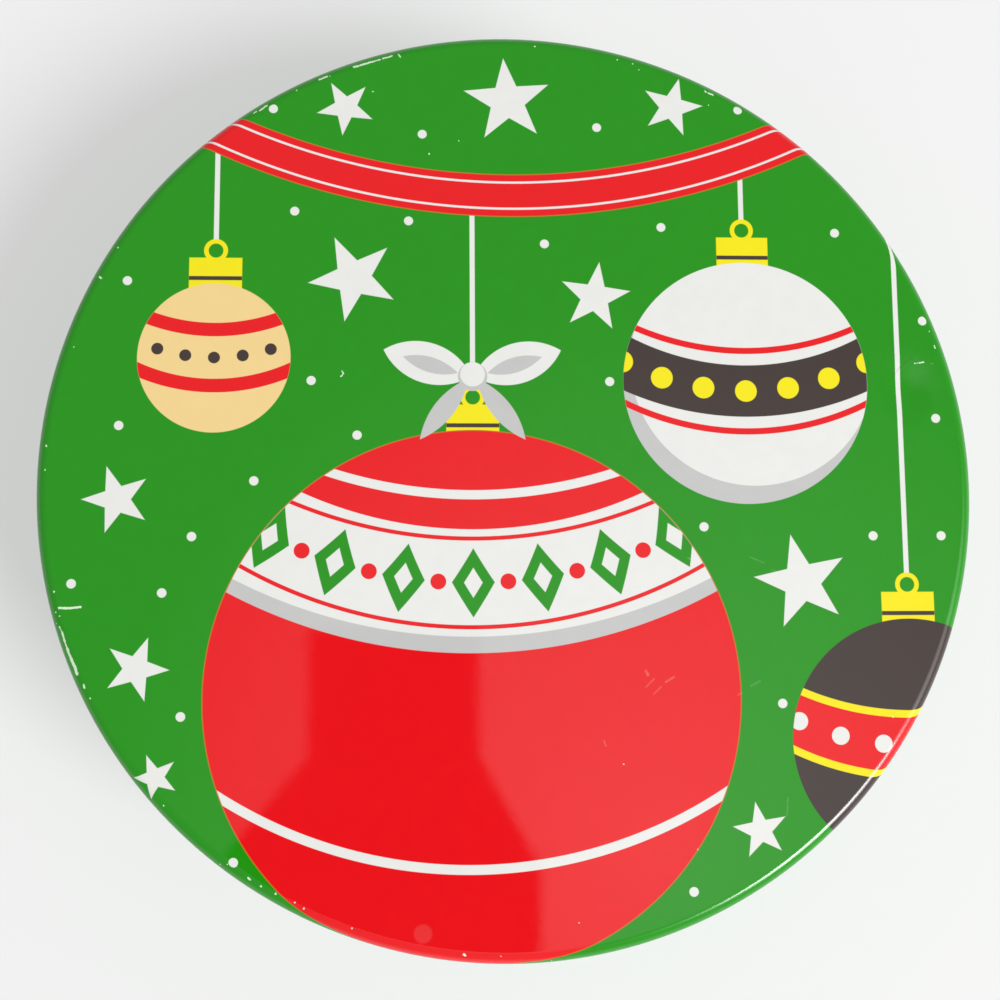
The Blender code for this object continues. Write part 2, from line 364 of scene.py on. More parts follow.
def lock_slot():
    """The winding gap between the two hooked edges of the sheet."""
    low, high = lock_range()
    edge = LOCK_WIDTH / 2
    right = edge - GAUGE - LOCK_GAP / 2
    left = -edge + GAUGE + LOCK_GAP / 2
    hook_end = right - GAUGE - LOCK_GAP
    layers = [LOCK_COAT + i * GAUGE + (i - 0.5) * LOCK_GAP for i in (1, 2, 3)]
    route = [(right, -GAUGE), (right, layers[2]), (left, layers[2]), (left, layers[1])]
    route += [(hook_end, layers[1]), (hook_end, layers[0]), (-edge - GAUGE, layers[0])]
    shape = bmesh.new()
    line = [shape.verts.new((x, y, low - LOCK_CLEAR / 2)) for x, y in route]
    edges = [shape.edges.new(pair) for pair in zip(line, line[1:])]
    raised = bmesh.ops.extrude_edge_only(shape, edges=edges)["geom"]
    moved = [item for item in raised if isinstance(item, bmesh.types.BMVert)]
    bmesh.ops.translate(shape, vec=(0, 0, high - low + LOCK_CLEAR), verts=moved)
    tool = seam_tool("side_seam_gap", shape)
    add_gauge(tool, LOCK_GAP, 0.0)
    return tool


def fold_side_seam(wall, bare):
    """Adds the fold inside the wall and cuts the gap that shows as a fine line outside."""
    for operation, tool in (("UNION", lock_fold()), ("DIFFERENCE", lock_slot())):
        tool.data.materials.append(bare)
        change = wall.modifiers.new(tool.name, "BOOLEAN")
        change.operation = operation
        change.solver = "EXACT"
        change.material_mode = "TRANSFER"
        change.object = tool
    apply_modifiers(wall)
    for name in ("side_seam_fold", "side_seam_gap"):
        bpy.data.objects.remove(bpy.data.objects[name], do_unlink=True)


# Materials

class Nodes:
    """Short ways to add and join nodes."""

    def __init__(self, tree):
        self.tree = tree

    def add(self, kind, **settings):
        node = self.tree.nodes.new(kind)
        for name, value in settings.items():
            setattr(node, name, value)
        return node

    def join(self, source, socket):
        if isinstance(source, bpy.types.NodeSocket):
            self.tree.links.new(source, socket)
        else:
            socket.default_value = source

    def math(self, operation, *terms, clamp=False):
        node = self.add("ShaderNodeMath", operation=operation, use_clamp=clamp)
        for term, socket in zip(terms, node.inputs):
            self.join(term, socket)
        return node.outputs[0]

    def vector(self, operation, *terms, scale=None):
        node = self.add("ShaderNodeVectorMath", operation=operation)
        for term, socket in zip(terms, node.inputs):
            self.join(term, socket)
        if scale is not None:
            self.join(scale, node.inputs["Scale"])
        wanted = "Value" if operation in ("DOT_PRODUCT", "LENGTH", "DISTANCE") else "Vector"
        return node.outputs[wanted]

    def between(self, share, low, high):
        """Number that runs from low to high as share runs from 0 to 1."""
        return self.math("MULTIPLY_ADD", share, high - low, low)

    def ramp(self, value, start, end):
        """Number that runs from 0 to 1 as a value runs from start to end, and stops there."""
        return self.math("MULTIPLY_ADD", value, 1 / (end - start), start / (start - end), clamp=True)


class Paint(Nodes):
    """Nodes of one material, in the metres of the piece that it is on."""

    def __init__(self, name):
        self.material = bpy.data.materials.new(name)
        self.material.use_nodes = True
        super().__init__(self.material.node_tree)
        self.shader = self.tree.nodes["Principled BSDF"]
        self.place = self.add("ShaderNodeTexCoord").outputs["Object"]

    def noise(self, scale, detail=2.0, stretch=None):
        """Noise with about this many waves to the metre."""
        source = self.place
        if stretch is not None:
            source = self.vector("MULTIPLY", source, stretch)
        node = self.add("ShaderNodeTexNoise")
        self.join(source, node.inputs["Vector"])
        node.inputs["Scale"].default_value = scale
        node.inputs["Detail"].default_value = detail
        return node.outputs["Fac"]

    def blend(self, share, below, above):
        """Mix of two colours."""
        node = self.add("ShaderNodeMix", data_type="RGBA")
        for term, socket in zip((share, below, above), (node.inputs[0], node.inputs[6], node.inputs[7])):
            self.join(term if isinstance(term, (bpy.types.NodeSocket, float)) else (*term, 1.0), socket)
        return node.outputs[2]

    def bump(self, height):
        """Relief from a height in metres."""
        node = self.add("ShaderNodeBump")
        node.inputs["Strength"].default_value = 1.0
        node.inputs["Distance"].default_value = 1.0
        self.join(height, node.inputs["Height"])
        self.tree.links.new(node.outputs["Normal"], self.shader.inputs["Normal"])


class Plate(Paint):
    """One patch of the lid's print, drawn in plain shapes on the sheet as it lay before it was pressed.

    The print is cut into patches so that each holds only the shapes that touch it.
    """

    def __init__(self, name, spots):
        super().__init__(name)
        self.spots = spots
        parts = self.add("ShaderNodeSeparateXYZ")
        self.join(self.place, parts.inputs[0])
        flat = self.vector("MULTIPLY", self.place, (1, 1, 0))
        radius = self.math("MAXIMUM", self.vector("LENGTH", flat), LEAST_RADIUS)
        fall = self.math("SUBTRACT", LID_TOP, parts.outputs["Z"])
        outside = self.math("GREATER_THAN", radius, LID_RADIUS - LID_CORNER)
        self.fall = self.math("MULTIPLY", fall, outside)
        reach = self.math("ADD", self.math("DIVIDE", self.fall, radius), 1.0)
        self.sheet = self.vector("SCALE", flat, scale=reach)
        spread = self.add("ShaderNodeSeparateXYZ")
        self.join(self.sheet, spread.inputs[0])
        self.x, self.y = spread.outputs["X"], spread.outputs["Y"]
        self.colour = GREEN

    def near(self, centre, reach, inside=0.0):
        """Whether a disc, or a ring with this radius inside, touches the patch."""
        for spot in self.spots:
            away = (spot - Vector(centre)).length
            if inside - PATCH_MARGIN < away < reach + PATCH_MARGIN:
                return True
        return False

    def disc(self, centre, radius):
        return self.math("SUBTRACT", self.vector("DISTANCE", self.sheet, (*centre, 0)), radius)

    def ring(self, centre, radius, width):
        line = self.math("ABSOLUTE", self.disc(centre, radius))
        return self.math("SUBTRACT", line, width / 2)

    def block(self, centre, width, height):
        across = self.math("ABSOLUTE", self.math("SUBTRACT", self.x, centre[0]))
        along = self.math("ABSOLUTE", self.math("SUBTRACT", self.y, centre[1]))
        across = self.math("SUBTRACT", across, width / 2)
        return self.math("MAXIMUM", across, self.math("SUBTRACT", along, height / 2))

    def both(self, first, second):
        return self.math("MAXIMUM", first, second)

    def grown(self, shape, by):
        return self.math("SUBTRACT", shape, by)

    def leaf(self, centre, length, width, turn):
        """Pointed oval, where two discs overlap."""
        radius = (length ** 2 + width ** 2) / (4 * width)
        side = Vector((-math.sin(turn), math.cos(turn))) * (radius - width / 2)
        return self.both(self.disc(Vector(centre) + side, radius), self.disc(Vector(centre) - side, radius))

    def star(self, centre, reach, turn, points=5, waist=0.40):
        """Straight-edged star: the sheet is folded into one half of one of its points."""
        local = self.vector("SUBTRACT", self.sheet, (*centre, 0))
        parts = self.add("ShaderNodeSeparateXYZ")
        self.join(local, parts.inputs[0])
        angle = self.math("ARCTAN2", parts.outputs["Y"], parts.outputs["X"])
        half = math.pi / points
        folded = self.math("PINGPONG", self.math("ADD", angle, 2 * math.pi - turn), half)
        away = self.vector("LENGTH", local)
        tip = Vector((reach, 0))
        notch = Vector((reach * waist * math.cos(half), reach * waist * math.sin(half)))
        side = (notch - tip).normalized()
        normal = Vector((side.y, -side.x))
        if normal.dot(tip) < 0:
            normal = -normal
        across = self.math("MULTIPLY", self.math("COSINE", folded), away)
        up = self.math("MULTIPLY", self.math("SINE", folded), away)
        level = self.math("MULTIPLY_ADD", across, normal.x, -normal.dot(tip))
        return self.math("MULTIPLY_ADD", up, normal.y, level)

    def along_ring(self, centre, radius, pitch, shift=0.0):
        """Distances along and across a ring, folded so that what is drawn repeats at this pitch."""
        local = self.vector("SUBTRACT", self.sheet, (*centre, 0))
        parts = self.add("ShaderNodeSeparateXYZ")
        self.join(local, parts.inputs[0])
        below = self.math("MULTIPLY", parts.outputs["Y"], -1.0)
        angle = self.math("ARCTAN2", parts.outputs["X"], below)
        along = self.math("MULTIPLY_ADD", angle, radius, (100 + shift) * pitch)
        along = self.math("PINGPONG", along, pitch / 2)
        across = self.math("SUBTRACT", self.vector("LENGTH", local), radius)
        return along, self.math("ABSOLUTE", across)

    def dots(self, centre, radius, pitch, size, shift=0.0):
        along, across = self.along_ring(centre, radius, pitch, shift)
        square = self.math("MULTIPLY_ADD", across, across, self.math("MULTIPLY", along, along))
        return self.math("SUBTRACT", self.math("SQRT", square), size)

    def diamonds(self, centre, radius, pitch, size, shift=0.0):
        along, across = self.along_ring(centre, radius, pitch, shift)
        slant = self.math("MULTIPLY_ADD", across, DIAMOND_SLANT, along)
        return self.math("MULTIPLY", self.math("SUBTRACT", slant, size), 1 / math.hypot(1, DIAMOND_SLANT))

    def ink(self, shape, colour):
        share = self.math("MULTIPLY_ADD", shape, -1.0 / INK_EDGE, 0.5, clamp=True)
        self.colour = self.blend(share, self.colour, colour)

    def red_ink(self, shape):
        """Red over green, with the pale line where the two inks don't quite meet."""
        self.ink(self.grown(shape, MISFIT), TRAP)
        self.ink(shape, RED)


def patches():
    """Ring and sector of every patch of the print."""
    places = []
    for ring, count in enumerate(PATCH_SECTORS):
        places += [(ring, sector) for sector in range(count)]
    return places


def patch_spots(ring, sector):
    """Points on the flat sheet spread all over a patch."""
    inner, outer = PATCH_RINGS[ring], PATCH_RINGS[ring + 1]
    wedge = 2 * math.pi / PATCH_SECTORS[ring]
    rows = math.ceil((outer - inner) / PATCH_STEP)
    columns = math.ceil(outer * wedge / PATCH_STEP)
    spots = []
    for i in range(rows + 1):
        radius = inner + (outer - inner) * i / rows
        for j in range(columns + 1):
            angle = wedge * (sector + j / columns)
            spots.append(Vector((radius * math.cos(angle), radius * math.sin(angle))))
    return spots


def patch_of(place):
    """Ring and sector of the patch that a point of the lid's outer face belongs to."""
    radius = place.xy.length + LID_TOP - place.z
    ring = max(i for i in range(len(PATCH_SECTORS)) if radius > PATCH_RINGS[i])
    turn = math.atan2(place.y, place.x) % (2 * math.pi)
    return ring, int(turn / (2 * math.pi / PATCH_SECTORS[ring]))


# The picture on the lid: baubles hung from a swag of ribbon among stars

SWAG_CENTRE = (0.0, 0.214)
SWAG_RADIUS = 0.150
SWAG_WIDTH = 0.0094
SWAG_LINE = 0.0005          # width of the white line along each side of the ribbon
SWAG_LINE_AT = 0.32         # how far it lies from the ribbon's middle, as a share of the ribbon's width
CORD_WIDTH = 0.0011
CAP = (0.0115, 0.0070)      # width and height of a bauble's cap
CAP_OVERLAP = 0.0012
CAP_LINE, CAP_LINE_UP = 0.0009, 0.0024
LOOP_RADIUS, LOOP_WIDTH, LOOP_ABOVE = 0.0021, 0.0010, 0.0016
LIT_PART = (0.0016, 0.0040) # how far the lit part of the white bauble is moved
BIG_BALL = (-0.008, -0.046)
BAUBLES = (                 # middle, radius, bend of the belts, ink, and what goes round the bauble:
                            # shape, height, width, pitch, shift in pitches, ink
    ((-0.064, 0.027), 0.0165, 0.040, CREAM, (
        ("belt", 0.0062, 0.0030, 0, 0, RED), ("belt", -0.0062, 0.0030, 0, 0, RED),
        ("dots", 0.0, 0.0013, 0.0062, 0, BLACK))),
    ((0.086, -0.056), 0.026, 0.060, BLACK, (
        ("belt", -0.0010, 0.0120, 0, 0, RED), ("belt", 0.0056, 0.0016, 0, 0, YELLOW),
        ("belt", -0.0076, 0.0016, 0, 0, YELLOW), ("dots", -0.0010, 0.0019, 0.0094, 0.69, WHITE))),
    ((0.052, 0.022), 0.027, 0.060, WHITE, (
        ("belt", -0.0020, 0.0115, 0, 0, BLACK), ("dots", -0.0020, 0.0024, 0.0094, 0, YELLOW),
        ("belt", 0.0070, 0.0014, 0, 0, RED), ("belt", -0.0110, 0.0014, 0, 0, RED))),
    (BIG_BALL, 0.057, 0.100, RED, (
        ("belt", 0.0205, 0.0230, 0, 0, SHADE), ("belt", 0.0240, 0.0230, 0, 0, WHITE),
        ("diamonds", 0.0240, 0.0046, 0.0150, 0, GREEN), ("diamonds", 0.0240, 0.0020, 0.0150, 0, WHITE),
        ("dots", 0.0240, 0.0017, 0.0150, 0.5, RED), ("belt", 0.0335, 0.0009, 0, 0, RED),
        ("belt", 0.0145, 0.0009, 0, 0, RED), ("belt", 0.0430, 0.0020, 0, 0, WHITE),
        ("belt", -0.0360, 0.0020, 0, 0, WHITE))),
)
BOW_ABOVE, BOW_REACH = 0.0690, 0.024
BOW_LEAVES = (              # across and up from the knot, length, width, lean in degrees, ink
    (0.0062, -0.0072, 0.0170, 0.0044, -52, SHADE), (0.0098, 0.0030, 0.0200, 0.0090, 17, WHITE),
    (0.0092, 0.0026, 0.0125, 0.0034, 17, SHADE),
)
KNOT = ((0.0, 0.0032, SHADE), (0.0005, 0.0027, WHITE))   # up, radius, ink
STARS = (                   # across, up, reach, turn in degrees
    (0.000, 0.086, 0.0100, 5), (-0.036, 0.084, 0.0065, 30), (0.037, 0.085, 0.0070, -15),
    (-0.034, 0.045, 0.0100, 25), (0.019, 0.041, 0.0080, -8), (-0.084, -0.004, 0.0075, 18),
    (-0.079, -0.040, 0.0070, -20), (0.063, -0.022, 0.0105, 12), (0.0525, -0.0745, 0.0060, 10),
    (-0.0745, -0.0625, 0.0050, 22),
)
SNOW_SIZE = 0.0010
SNOW = (                    # small dots, across and up
    (0.020, 0.080), (-0.019, 0.078), (-0.052, 0.0835), (0.052, 0.0845), (-0.022, 0.058), (0.034, 0.057),
    (0.008, 0.053), (-0.047, 0.060), (-0.043, 0.022), (0.022, 0.022), (-0.033, 0.010),
    (-0.084, 0.012), (-0.083, 0.044), (-0.055, 0.000), (-0.068, -0.012), (-0.074, -0.024), (-0.093, -0.022),
    (-0.0695, -0.050), (-0.058, -0.080), (0.042, -0.010), (0.079, -0.012), (0.094, -0.012),
    (0.094, 0.014), (0.073, 0.056), (0.092, 0.036), (0.058, -0.048), (0.038, -0.087),
)


def hang(art, centre, radius):
    """Cord from the swag and cap of one bauble."""
    x, y = centre
    top = SWAG_CENTRE[1] - math.sqrt(SWAG_RADIUS ** 2 - (x - SWAG_CENTRE[0]) ** 2)
    cap_middle = y + radius + CAP[1] / 2 - CAP_OVERLAP
    loop = (x, cap_middle + CAP[1] / 2 + LOOP_ABOVE)
    foot = loop[1] + LOOP_RADIUS
    if art.near((x, (foot + top) / 2), (top - foot) / 2):
        art.ink(art.block((x, (foot + top) / 2), CORD_WIDTH, top - foot), WHITE)
    if art.near((x, cap_middle), CAP[0]):
        art.ink(art.ring(loop, LOOP_RADIUS, LOOP_WIDTH), YELLOW)
        art.ink(art.block((x, cap_middle), *CAP), YELLOW)
        art.ink(art.block((x, cap_middle - CAP[1] / 2 + CAP_LINE_UP), CAP[0], CAP_LINE), BLACK)


def bauble(art, centre, radius, bend, colour, bands):
    hang(art, centre, radius)
    if not art.near(centre, radius):
        return
    ball = art.disc(centre, radius)
    if colour is RED:
        art.red_ink(ball)
    elif colour is WHITE:
        art.ink(ball, SHADE)
        lit = art.disc((centre[0] + LIT_PART[0], centre[1] + LIT_PART[1]), radius)
        art.ink(art.both(ball, lit), WHITE)
    else:
        art.ink(ball, colour)
    for kind, rise, width, pitch, shift, ink in bands:
        middle = (centre[0], centre[1] + rise + bend)
        if kind == "belt":
            shape = art.ring(middle, bend, width)
        elif kind == "dots":
            shape = art.dots(middle, bend, pitch, width, shift)
        else:
            shape = art.diamonds(middle, bend, pitch, width, shift)
        art.ink(art.both(shape, ball), ink)


def bow_of_ribbon(art):
    """White bow with grey folds, tied over the big bauble's cap."""
    x, y = BIG_BALL[0], BIG_BALL[1] + BOW_ABOVE
    if not art.near((x, y), BOW_REACH):
        return
    for across, up, length, width, lean, ink in BOW_LEAVES:
        for side in (-1, 1):
            middle = (x + side * across, y + up)
            art.ink(art.leaf(middle, length, width, side * math.radians(lean)), ink)
    for up, radius, ink in KNOT:
        art.ink(art.disc((x, y + up), radius), ink)


def swag(art):
    if not art.near(SWAG_CENTRE, SWAG_RADIUS + SWAG_WIDTH / 2, inside=SWAG_RADIUS - SWAG_WIDTH / 2):
        return
    art.red_ink(art.ring(SWAG_CENTRE, SWAG_RADIUS, SWAG_WIDTH))
    for side in (-1, 1):
        line = SWAG_RADIUS + side * SWAG_WIDTH * SWAG_LINE_AT
        art.ink(art.ring(SWAG_CENTRE, line, SWAG_LINE), WHITE)


def draw_print(art):
    for x, y, reach, turn in STARS:
        if art.near((x, y), reach):
            art.ink(art.star((x, y), reach, math.radians(90 + turn)), WHITE)
    for spot in SNOW:
        if art.near(spot, SNOW_SIZE):
            art.ink(art.disc(spot, SNOW_SIZE), WHITE)
    for row in BAUBLES:
        bauble(art, *row)
    bow_of_ribbon(art)
    swag(art)


# Wear on the lid, and the glint, sheen and shade painted on it, by pixels of the photograph: from, to, width
CHIPS = (
    ((354, 67), (358, 66), 2.4), ((358, 66), (373, 61.5), 2.1), ((373, 61.5), (380, 59.5), 1.6),
    ((383, 58.5), (392, 56), 1.8), ((319.5, 79.5), (327, 76.5), 2.1), ((254, 113), (256.5, 111.5), 1.5),
    ((259.8, 110.5), (267, 105.5), 2.0), ((398.5, 54.5), (400.5, 57), 1.2), ((59, 608), (69, 608.3), 2.3),
    ((69, 608.3), (80.5, 607), 2.1), ((59.2, 626.5), (62, 632.5), 1.1), ((62, 632.5), (64.6, 641), 2.3),
    ((64.6, 641), (67.2, 649), 1.8), ((67.2, 649), (71, 659), 2.6), ((71, 659), (74.5, 666.5), 3.3),
    ((74.5, 666.5), (77, 674), 3.1), ((83.7, 685.2), (84.4, 688), 1.9), ((248, 878), (250, 879.5), 1.9),
    ((463.8, 954.4), (465.2, 955.4), 2.2), ((342, 371), (343.5, 373.5), 1.2),
    ((343.5, 373.5), (341, 376.5), 1.2), ((99.5, 277), (101, 278), 1.9), ((705, 91), (706.3, 92.2), 1.5),
    ((708.5, 93.2), (713, 95), 1.8), ((934.4, 346), (935, 348), 1.3), ((914.8, 363.4), (919, 362.9), 1.1),
    ((919, 362.9), (923.5, 362.2), 1.4),
)
SPECKS = (                  # across, down, width
    (296.6, 90.2, 1.8), (373, 91.6, 1.4), (330, 76, 1.2), (118, 247.6, 1.7), (429, 154, 1.7),
    (458.8, 140.7, 1.2), (44.9, 470, 1.5), (46.3, 445.8, 2.1), (534.8, 46.4, 1.6), (617.3, 59.8, 1.5),
    (632.7, 63.9, 1.2), (638.8, 70, 1.2), (708.5, 105.2, 1.1), (54, 591.8, 1.8), (55.8, 612.4, 1.4),
    (59.5, 616, 1.4), (90.3, 698.4, 1.6), (163.8, 805.8, 1.5), (220.2, 864.4, 1.3), (227.2, 864.5, 1.4),
    (260.9, 886.4, 1.8), (275.6, 894, 2.1), (294.9, 902.6, 1.5), (303.8, 908.6, 1.8), (351.9, 928.4, 1.5),
    (501, 956.5, 1.0), (551.5, 960.5, 1.0), (623.7, 764.3, 1.1), (697.7, 849.4, 1.3), (579, 923, 1.1),
    (893, 716.9, 1.4), (929.2, 331.4, 1.1), (73.8, 347, 1.1), (56.5, 623.5, 1.0),
)
SCRATCHES = (               # fine marks that catch the light but don't go through the print; their paler colour is a painted glint
    ((646, 687), (654, 679), 1.2), ((654, 694), (661, 687), 1.2), ((666, 682), (674, 677), 1.8),
    ((646, 671), (648, 675), 2.6), ((750, 557), (764, 563), 0.9), ((772, 570), (793, 577), 0.9),
    ((788, 797), (787, 816), 0.9), ((688, 558), (693, 560), 1.6), ((931, 363.6), (933, 363.8), 1.4),
    ((751, 686), (760, 681), 1.2), ((738, 695), (742, 693), 1.0), ((604, 741), (606, 746), 1.2),
)
CREASE_SHADE_LINE = (                  # painted shade: dark line along the crease beside the dent
    ((891.3, 380), (895.6, 373), 1.7), ((895.6, 373), (901, 366), 1.7), ((901, 366), (907, 361), 1.3),
    ((907, 361), (913, 357.2), 0.8),
)
CREASE_SHADE_EDGE = 0.00022
CREASE_SHADE_TONE = 0.48
SMUDGE_SHEEN_PX = (423, 934)      # small round greasy mark, with its pale sheen painted into the colour
SMUDGE_SHEEN_RADIUS = 0.0019
SMUDGE_SHEEN_EDGE = 0.0005
SMUDGE_SHEEN_TONE = 0.035
METRES_PER_PIXEL = CAMERA_ABOVE / FOCAL_PX
MARK_REACH = 0.006          # no mark is longer than this


def sheet_place(place):
    """Where a point of the lid's face lay on the flat sheet."""
    return place.xy * (1 + (LID_TOP - place.z) / max(place.xy.length, LEAST_RADIUS))


def worn_shape(art, marks):
    """Signed distance to all of the marks that touch the patch, or nothing."""
    shape = None
    for start, end, width in marks:
        first, last = on_lid(start), on_lid(end)
        if not art.near(sheet_place(first), MARK_REACH):
            continue
        way = last - first
        if way.length > 0:
            from_first = art.vector("SUBTRACT", art.place, tuple(first))
            share = art.vector("DOT_PRODUCT", from_first, tuple(way / way.length_squared))
            nearest = art.vector("SCALE", tuple(way), scale=art.math("MULTIPLY", share, 1.0, clamp=True))
            away = art.vector("DISTANCE", from_first, nearest)
        else:
            away = art.vector("DISTANCE", art.place, tuple(first))
        mark = art.math("SUBTRACT", away, width * METRES_PER_PIXEL / 2)
        shape = mark if shape is None else art.math("MINIMUM", shape, mark)
    return shape


def lacquer(paint, chips=None, scratches=None, corner=None):
    """Clear gloss over the ink: faint orange peel and handling marks, dull where it has gone."""
    rough = paint.between(paint.noise(SMEAR_WAVES, 4.0, stretch=SMEAR_STRETCH), *GLOSS)
    peel = paint.between(paint.noise(PEEL_WAVES), -PEEL_HEIGHT, PEEL_HEIGHT)
    swell = paint.between(paint.noise(SWELL_WAVES, 1.0), -SWELL_HEIGHT, SWELL_HEIGHT)
    height = paint.math("ADD", peel, swell)
    if corner is not None:
        rough = paint.math("MULTIPLY_ADD", corner, CORNER_DULL, rough)
    if chips is not None:
        rough = paint.math("MULTIPLY_ADD", chips, CHIP_DULL, rough)
        height = paint.math("MULTIPLY_ADD", chips, -CHIP_DEPTH, height)
    if scratches is not None:
        rough = paint.math("MULTIPLY_ADD", scratches, SCRATCH_DULL, rough)
        height = paint.math("MULTIPLY_ADD", scratches, -SCRATCH_DEPTH, height)
    paint.join(rough, paint.shader.inputs["Roughness"])
    paint.bump(height)


def chip_through(art):
    """Chips that show the pale primer, as a share from 0 to 1, or nothing."""
    chips = worn_shape(art, CHIPS + tuple((mark[:2], mark[:2], mark[2]) for mark in SPECKS))
    if chips is None:
        return None
    ragged = art.between(art.noise(CHIP_WAVES, 3.0), -CHIP_RAGGED, CHIP_RAGGED)
    chips = art.ramp(art.math("ADD", chips, ragged), CHIP_EDGE / 2, -CHIP_EDGE / 2)
    art.colour = art.blend(chips, art.colour, PRIMER)
    return chips


def scratch_and_glint(art):
    """Scratches in the lacquer, with a painted glint that pales the print along them, as a share from 0 to
    1, or nothing.
    """
    scratches = worn_shape(art, SCRATCHES)
    if scratches is None:
        return None
    scratches = art.ramp(scratches, SCRATCH_EDGE / 2, -SCRATCH_EDGE / 2)
    scratches = art.math("MULTIPLY", scratches, art.noise(SCRATCH_WAVES))
    # Painted glint: the print is paled along the scratches where they catch the light
    art.colour = art.blend(art.math("MULTIPLY", scratches, SCRATCH_GLINT_TONE), art.colour, PRIMER)
    return scratches


def paint_smudge_sheen(art):
    # Painted sheen: a touch of white mixed into the print where the greasy mark shows its haze
    middle = on_lid(SMUDGE_SHEEN_PX)
    if art.near(sheet_place(middle), SMUDGE_SHEEN_RADIUS):
        away = art.vector("DISTANCE", art.place, tuple(middle))
        share = art.ramp(away, SMUDGE_SHEEN_RADIUS + SMUDGE_SHEEN_EDGE / 2, SMUDGE_SHEEN_RADIUS - SMUDGE_SHEEN_EDGE / 2)
        art.colour = art.blend(art.math("MULTIPLY", share, SMUDGE_SHEEN_TONE), art.colour, WHITE)


def paint_crease_shade(art):
    # Painted shade: darkens the print along the crease beside the dent, where shade falls
    crease_shade = worn_shape(art, CREASE_SHADE_LINE)
    if crease_shade is not None:
        crease_shade = art.ramp(crease_shade, CREASE_SHADE_EDGE / 2, -CREASE_SHADE_EDGE / 2)
        art.colour = art.blend(art.math("MULTIPLY", crease_shade, CREASE_SHADE_TONE), art.colour, BLACK)


def printed_patch(ring, sector):
    """Material of one patch of the lid's print, with its share of the wear and of the painted glint, sheen
    and shade.
    """
    art = Plate(f"printed_enamel_{ring}_{sector}", patch_spots(ring, sector))
    draw_print(art)
    mottle = art.between(art.noise(MOTTLE_WAVES, 3.0), 1 - MOTTLE, 1 + MOTTLE)
    art.colour = art.vector("SCALE", art.colour, scale=mottle)
    chips = chip_through(art)
    scratches = scratch_and_glint(art)
    paint_smudge_sheen(art)
    paint_crease_shade(art)
    art.join(art.colour, art.shader.inputs["Base Color"])
    lacquer(art, chips, scratches, art.ramp(art.fall, 0.0, LID_CORNER * CORNER_START))
    return art.material


def lay_print(lid, bare):
    """Gives every face of the lid the patch of the print that lies on it, and bare metal inside."""
    places = patches()
    lid.data.materials.clear()
    for ring, sector in places:
        lid.data.materials.append(printed_patch(ring, sector))
    lid.data.materials.append(bare)
    for face in lid.data.polygons:
        face.material_index = places.index(patch_of(face.center))
    gauge = lid.modifiers["gauge"]
    gauge.material_offset = len(places)
    gauge.material_offset_rim = len(places)


def wall_enamel():
    paint = Paint("green_enamel")
    tone = paint.noise(WALL_WAVES, 3.0)
    darker = tuple(share * (1 - WALL_MOTTLE) for share in GREEN)
    paint.join(paint.blend(tone, darker, GREEN), paint.shader.inputs["Base Color"])
    lacquer(paint)
    return paint.material


def bare_tinplate(name, stretch):
    """Rolled tinplate: fine straight rolling marks and a soft shine."""
    paint = Paint(name)
    shader = paint.shader
    shader.inputs["Metallic"].default_value = 1.0
    rolling = paint.noise(ROLLING_WAVES, 1.0, stretch=stretch)
    cloud = paint.noise(CLOUD_WAVES, 3.0)
    pale = tuple(share * CLOUD_TONE for share in BARE_TIN)
    paint.join(paint.blend(cloud, BARE_TIN, pale), shader.inputs["Base Color"])
    rough = paint.math("ADD", paint.between(cloud, *TIN_DULL), paint.between(rolling, 0.0, ROLLING_DULL))
    paint.join(rough, shader.inputs["Roughness"])
    paint.bump(paint.between(rolling, 0.0, ROLLING_HEIGHT))
    return paint.material


# Stage and light

LIGHT_TURN = math.radians(-38)      # the lamp stands to the lower right in the picture
LIGHT_LEAN = math.radians(42)       # and this far from straight overhead
LIGHT_AWAY = 2.6
LIGHT_SIZE = 1.00
LIGHT_POWER = 55.0
PANEL_TURN = math.radians(-22)      # a wide, weak pale panel round the lamp, seen only in the gloss
PANEL_LEAN = math.radians(44)
PANEL_EDGE = (math.radians(25), math.radians(13))   # where it begins and where it is full
PANEL_SHEEN = 2.6
DOME_FILL = 0.46                    # how strongly the pale room lights dull surfaces
OVERHEAD = 0.36                     # how strongly the room overhead shows in the gloss
OVERHEAD_HEIGHT = (0.0, 0.35)       # between these heights it changes to the even room at the sides
PATCH_MIDDLE = (0.15, -0.09, 0.98)  # a paler patch overhead, towards the lamp
PATCH_REACH = 0.36
PATCH_SHEEN = 0.90
GAP_MIDDLE, GAP_HALF = -0.0235, 0.0565  # the gap in the pale room that the camera looks out of
GAP_TOP, GAP_FOOT = 0.050, -0.20
GAP_STEP = (0.034, 0.104)           # between these distances down it grows wider
GAP_WIDER, GAP_SHIFT = 0.049, 0.011
GAP_ROUNDING, GAP_EDGE = 0.012, 0.004
FLOOR_RADIUS = 4.0
FLOOR_TONE = 0.80
FLOOR_UNEVEN, FLOOR_WAVES = 0.015, 9.0
FLOOR_DULL = 0.9
FLOOR_GLOW = 0.45                   # share of its own white that the floor shows beside the tin
FLOOR_NEAR, FLOOR_FAR = 0.20, 1.10  # from here to there it fades to the white of the room


def seen_ray(paint):
    """1 for the rays that show a surface to the camera, straight or in gloss or glass."""
    paths = paint.add("ShaderNodeLightPath")
    seen = paint.math("MAXIMUM", paths.outputs["Is Camera Ray"], paths.outputs["Is Glossy Ray"])
    return paint.math("MAXIMUM", seen, paths.outputs["Is Transmission Ray"])


